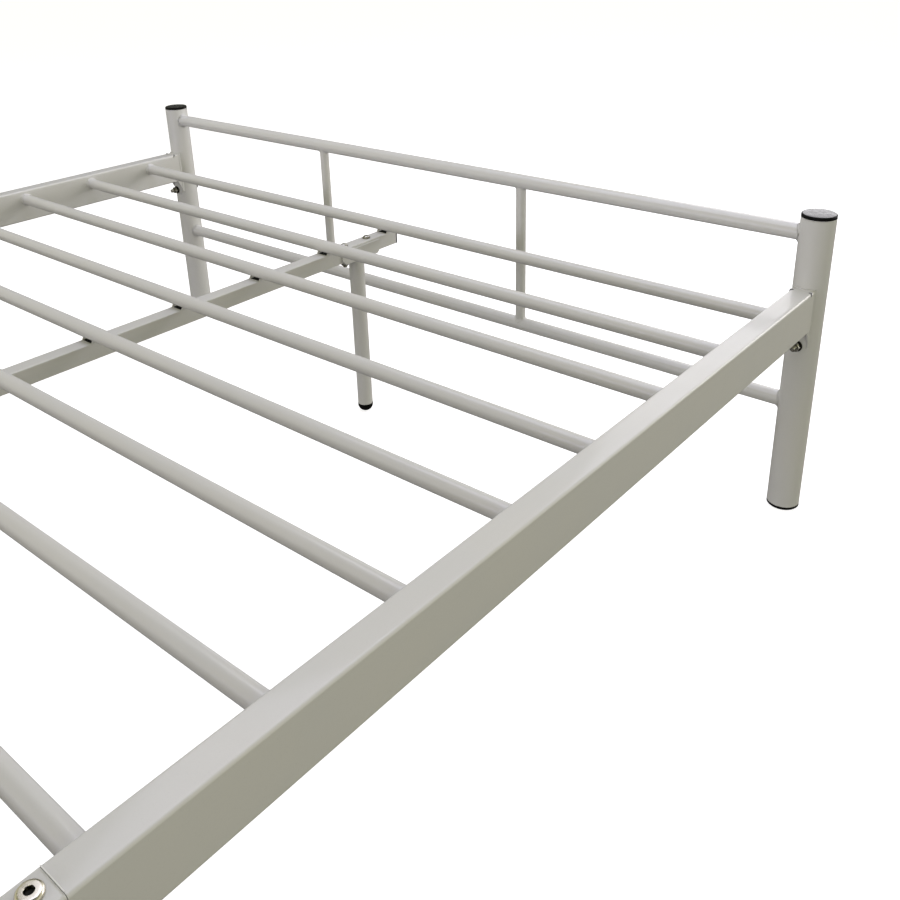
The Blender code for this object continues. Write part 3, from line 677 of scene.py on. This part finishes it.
def make_post_bolts():
    """The bolt, washer and nut through each post and bracket, with a socket in the bolt's head. The washer is
    near-black as a painted shadow between the nut and the bracket.
    """
    for end in ENDS:
        inward = 1.0 if end == "foot" else -1.0
        for side in SIDES:
            node = f"post_bolt_{end}_{side}"
            low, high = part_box(node)
            post = middle(f"{end}_post_{side}")
            along = Matrix.Rotation(-inward * math.pi / 2, 4, "X")
            place = Matrix.Translation((post.x, post.y, POST_BOLT_Z)) @ along
            tip = max(abs(low.y - post.y), abs(high.y - post.y))
            head = min(abs(low.y - post.y), abs(high.y - post.y))
            bm = bmesh.new()
            shank = [(0.0022, tip, ROUND)]
            shank += screw_rings(tip - 0.0004, 0.0215, 0.0031, 0.0012, 0.0008)
            shank += [(0.0029, 0.0210, ROUND), (0.0029, -head + 0.0034, ROUND)]
            loft(bm, shank, place)
            shank_faces = len(bm.faces)
            loft(bm, [(WASHER_RADIUS, NUT_SEAT, ROUND), (WASHER_RADIUS, WASHER_SEAT, ROUND)], place)
            washer = range(shank_faces, len(bm.faces))
            loft(bm, nut_rings(NUT_SEAT, NUT_END, NUT_FLAT), place)
            crown = [(HEAD_RADIUS, -POST_RADIUS - GAP, ROUND), (HEAD_RADIUS, -POST_RADIUS - 0.0018, ROUND)]
            crown += [(0.0061, -POST_RADIUS - 0.0026, ROUND), (0.0053, -head, ROUND)]
            crown += [(0.0026, -head, HEXAGON), (0.0026, -head + 0.0014, HEXAGON)]
            loft(bm, crown, place)
            piece = finish_piece(f"plated_{node}", bm, ZINC)
            # The washer's near-black is a painted shadow between the nut and the bracket
            second_material(piece, OXIDE_AND_SHADE, lambda face, washer=washer: face.index in washer)
            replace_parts(piece, node)


def make_leg_bolts():
    """The bolts through the beam at each end leg: a domed socket head on a washer, and a nut below."""
    for end in ENDS:
        for mark in ("a", "b"):
            node = f"leg_bolt_{end}_{mark}"
            low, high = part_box(node)
            centre = (low + high) / 2
            place = Matrix.Translation((centre.x, centre.y, 0.0))
            seat = high.z - 0.0040
            washer_top = seat + LEG_WASHER
            dome_base = washer_top + LEG_DOME_BAND
            bm = bmesh.new()
            thread = [(0.0022, low.z, ROUND)]
            thread += screw_rings(low.z + 0.0003, seat - 0.006, 0.0030, 0.0009, 0.0004)
            loft(bm, thread, place, 32)
            loft(bm, [(0.0028, low.z + 0.004, ROUND), (0.0028, seat, ROUND)], place, 32)
            loft(bm, [(LEG_WASHER_RADIUS, seat, ROUND), (LEG_WASHER_RADIUS, washer_top, ROUND)], place, 48)
            dome = [(LEG_DOME_RADIUS, washer_top, ROUND), (LEG_DOME_RADIUS, dome_base, ROUND)]
            for step in range(1, 6):
                angle = math.pi / 2 * step / 6
                around = LEG_DOME_RADIUS * math.cos(angle)
                dome.append((around, dome_base + LEG_DOME * math.sin(angle), ROUND))
            dome += [(0.0016, high.z - 0.0001, HEXAGON), (0.0015, high.z - 0.0012, HEXAGON)]
            loft(bm, dome, place, 48)
            loft(bm, nut_rings(low.z + 0.003, low.z + 0.008, LEG_NUT_FLAT), place, 48)
            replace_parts(finish_piece(f"plated_{node}", bm, ZINC), node)


def make_joint_bolts():
    """The round-edged bolt head with a dark hexagon socket on each side rail's joint."""
    for side in SIDES:
        node = f"rail_joint_bolt_{side}"
        low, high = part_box(node)
        centre = (low + high) / 2
        place = Matrix.Translation((centre.x, centre.y, 0.0))
        under = high.z - JOINT_HEAD_HEIGHT
        rings = [(0.0034, low.z, ROUND), (0.0040, low.z + 0.0006, ROUND), (0.0040, under, ROUND)]
        rings.append((JOINT_HEAD_RADIUS - 0.0003, under, ROUND))
        rings += rounded_edge(JOINT_HEAD_RADIUS, high.z, JOINT_HEAD_EDGE, steps=8)
        rings.append((0.0027, high.z, ROUND))
        rings += [(0.0025, high.z - 0.0002, HEXAGON), (0.0024, high.z - 0.0020, HEXAGON)]
        rings.append((0.0004, high.z - 0.0022, ROUND))
        bm = bmesh.new()
        loft(bm, rings, place)
        piece = finish_piece(f"plated_{node}", bm, NICKEL)

        def in_socket(face, axis=centre.xy, shank_end=low.z + 0.0008):
            return (face.center.xy - axis).length < JOINT_SOCKET_RADIUS and face.center.z > shank_end

        second_material(piece, OXIDE_AND_SHADE, in_socket)
        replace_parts(piece, node)


# ---------------------------------------------------------------- stage, light and camera
FLOOR_GLOW = 0.84
BACKDROP_GLOW = 0.97

# The room's light by height, from straight down (0) to straight up (1)
ROOM_LIGHT = (
    (0.00, (0.165, 0.160, 0.145, 1.0)),
    (0.40, (0.165, 0.160, 0.145, 1.0)),
    (0.50, (1.200, 1.200, 1.200, 1.0)),
    (0.65, (0.700, 0.690, 0.410, 1.0)),
    (1.00, (0.080, 0.080, 0.080, 1.0)),
)
# A dark patch in the room's light: the way to it, its edge and middle as cosines, and its colour
DARK_CORNER = (0.81, -0.56, 0.17)
DARK_EDGE = 0.88
DARK_MIDDLE = 0.97
DARK_LIGHT = (0.12, 0.12, 0.11)

# Name, place, target, width, height, watts and colour of each softbox
SOFTBOXES = (
    ("window", (-0.35, -2.5, 1.25), (-0.3, -0.6, 0.3), 1.7, 1.4, 15.0, (0.87, 0.85, 1.0)),
    ("overhead", (0.3, -1.1, 2.6), (0.1, -0.8, 0.0), 2.0, 2.0, 35.5, (0.81, 0.81, 1.0)),
    ("fill", (0.3, 3.2, 0.7), (0.1, -0.7, 0.2), 2.6, 1.4, 37.0, (0.69, 0.65, 1.0)),
    ("far_left", (-1.6, -3.0, 0.9), (0.4, -0.8, 0.2), 1.0, 1.2, 16.6, (1.0, 0.96, 0.99)),
)

CAMERA_AT = (-0.9305886, 0.0751416, 0.6966633)
CAMERA_FORWARD = (0.59702011, -0.70394229, -0.38474958)
CAMERA_UP = (0.22757233, -0.31128909, 0.92266458)


def make_floor():
    """A pale floor that the camera sees and the bed doesn't reflect."""
    bpy.ops.mesh.primitive_plane_add(size=120.0, location=(0.0, 0.0, 0.0))
    floor = bpy.context.object
    floor.name = "floor"
    made, tree, shader = new_material("pale_floor")
    shader.inputs["Base Color"].default_value = (0.5, 0.5, 0.5, 1.0)
    shader.inputs["Roughness"].default_value = 0.9
    shader.inputs["Emission Color"].default_value = (1.0, 0.995, 1.0, 1.0)
    shader.inputs["Emission Strength"].default_value = FLOOR_GLOW
    floor.data.materials.append(made)
    floor.visible_diffuse = False
    floor.visible_glossy = False


def make_world():
    """The room's soft light: brightest at the horizon, dim overhead, and dark beyond the far right corner."""
    world = bpy.data.worlds.new("studio")
    bpy.context.scene.world = world
    world.use_nodes = True
    tree = world.node_tree
    back = tree.nodes["Background"]
    place = add(tree, "ShaderNodeTexCoord")
    split = add(tree, "ShaderNodeSeparateXYZ")
    tree.links.new(place.outputs["Generated"], split.inputs["Vector"])
    level = spread(tree, split.outputs["Z"], -1.0, 1.0)
    ramp = add(tree, "ShaderNodeValToRGB")
    tree.links.new(level, ramp.inputs["Fac"])
    stops = ramp.color_ramp.elements
    for stop, (position, colour) in zip(stops, (ROOM_LIGHT[0], ROOM_LIGHT[-1])):
        stop.position = position
        stop.color = colour
    for position, colour in ROOM_LIGHT[1:-1]:
        stop = stops.new(position)
        stop.color = colour
    facing = add(tree, "ShaderNodeVectorMath", operation="DOT_PRODUCT")
    facing.inputs[1].default_value = DARK_CORNER
    tree.links.new(place.outputs["Generated"], facing.inputs[0])
    shade = spread(tree, facing.outputs["Value"], DARK_EDGE, DARK_MIDDLE)
    tree.links.new(blend_colour(tree, shade, ramp.outputs["Color"], DARK_LIGHT), back.inputs["Color"])


def make_backdrop():
    """A pale shell far round the bed, seen by the camera only."""
    bpy.ops.mesh.primitive_uv_sphere_add(segments=32, ring_count=16, radius=80.0, location=(0.0, 0.0, 0.0))
    shell = bpy.context.object
    shell.name = "backdrop"
    made = bpy.data.materials.new("pale_backdrop")
    made.use_nodes = True
    tree = made.node_tree
    glow = add(tree, "ShaderNodeEmission", Strength=BACKDROP_GLOW)
    glow.inputs["Color"].default_value = (1.0, 0.99, 1.0, 1.0)
    tree.links.new(glow.outputs["Emission"], tree.nodes["Material Output"].inputs["Surface"])
    shell.data.materials.append(made)
    shell.visible_diffuse = False
    shell.visible_glossy = False
    shell.visible_shadow = False
    shell.visible_transmission = False


def make_softbox(name, location, target, width, height, power, colour):
    """A rectangular area light that faces its target."""
    data = bpy.data.lights.new(name, "AREA")
    data.shape = "RECTANGLE"
    data.size = width
    data.size_y = height
    data.energy = power
    data.color = colour
    light = bpy.data.objects.new(name, data)
    light.location = location
    aim = Vector(target) - Vector(location)
    light.rotation_euler = aim.to_track_quat("-Z", "Y").to_euler()
    bpy.context.scene.collection.objects.link(light)


def make_camera():
    """The camera over the left side rail, looking to the foot end."""
    data = bpy.data.cameras.new("camera")
    data.sensor_width = 36.0
    data.lens = 38.5177
    data.shift_x = 0.0066
    data.shift_y = -0.15409
    data.clip_start = 0.01
    data.clip_end = 200.0
    camera = bpy.data.objects.new("camera", data)
    bpy.context.scene.collection.objects.link(camera)
    forward = Vector(CAMERA_FORWARD)
    upward = Vector(CAMERA_UP)
    right = forward.cross(upward)
    turn = Matrix((right, upward, -forward)).transposed().to_4x4()
    camera.matrix_world = Matrix.Translation(CAMERA_AT) @ turn
    bpy.context.scene.camera = camera


def build():
    for node in NODES:
        dress(node)
    make_end_welds()
    make_slat_welds()
    make_leg_welds()
    make_liners()
    make_post_caps()
    make_rail_seams()
    make_slot_shade()
    make_post_bolts()
    make_leg_bolts()
    make_joint_bolts()
    make_floor()
    make_world()
    make_backdrop()
    for softbox in SOFTBOXES:
        make_softbox(*softbox)
    make_camera()
    bpy.context.scene.view_settings.view_transform = "Standard"


build()
